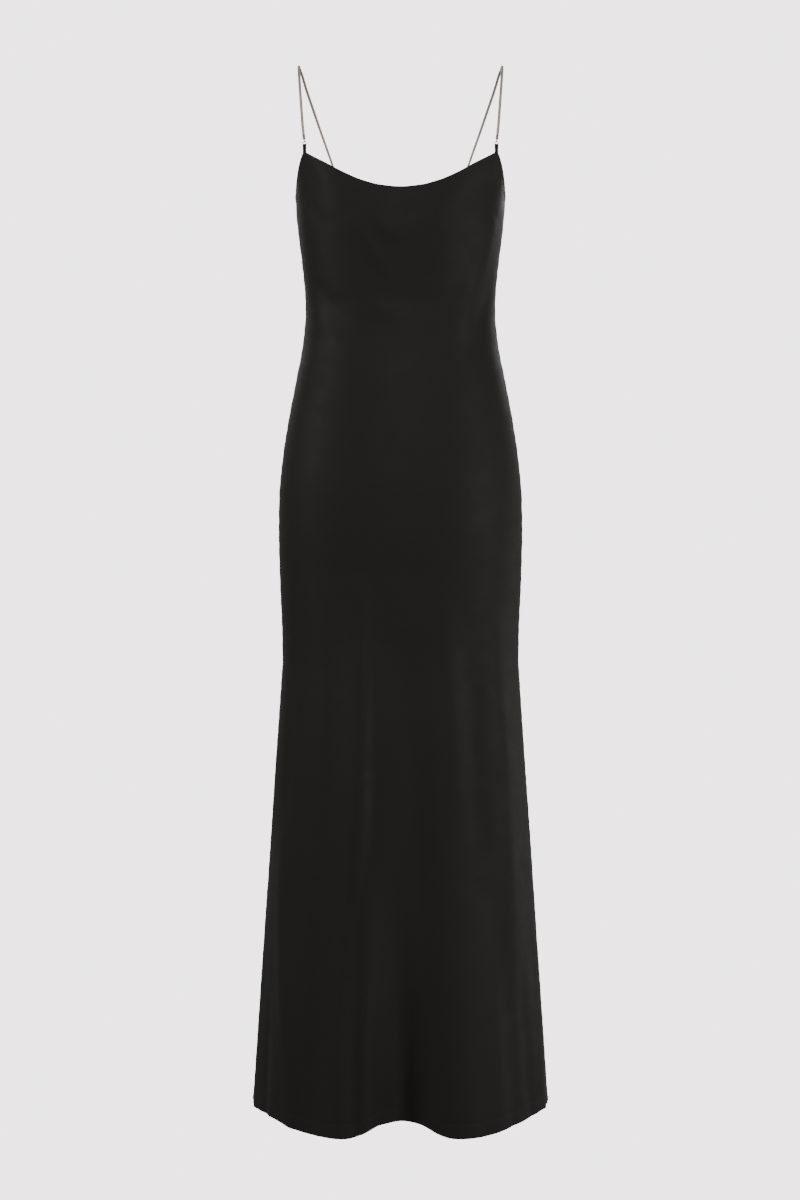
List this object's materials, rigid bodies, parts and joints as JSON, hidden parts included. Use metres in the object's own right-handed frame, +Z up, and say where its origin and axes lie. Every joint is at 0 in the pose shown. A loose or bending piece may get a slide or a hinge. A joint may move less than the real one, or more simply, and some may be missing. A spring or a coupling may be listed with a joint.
{
  "type": "slip dress",
  "caption": "Floor-length bias-cut slip dress in black satin-back crepe, with a soft scooped neckline, flared hem and fine metal chain straps on small rings.",
  "frame": {"origin": "middle of the line across the shoulders, between the tops of the two straps, where the wearer's shoulders carry the dress", "axes": "+Z up along the body, -Y out of the front, +X towards the wearer's left, which is the viewer's right in a front view"},
  "size_m": [0.4124, 0.3663, 1.4537],
  "materials": {
    "cloth": "black satin-back crepe with a soft low sheen",
    "tab_cloth": "the same black cloth, folded narrow",
    "chain_metal": "fine snake chain, taupe antique gold",
    "ring_metal": "polished pale gold wire"
  },
  "bodies": {
    "root": {"front_panel": "cloth", "back_panel": "cloth", "tab_front_left": "tab_cloth", "ring_front_left": "ring_metal", "tab_front_right": "tab_cloth", "ring_front_right": "ring_metal", "tab_back_left": "tab_cloth", "ring_back_left": "ring_metal", "tab_back_right": "tab_cloth", "ring_back_right": "ring_metal", "strap_left": "chain_metal", "strap_right": "chain_metal"}
  },
  "joints": []
}
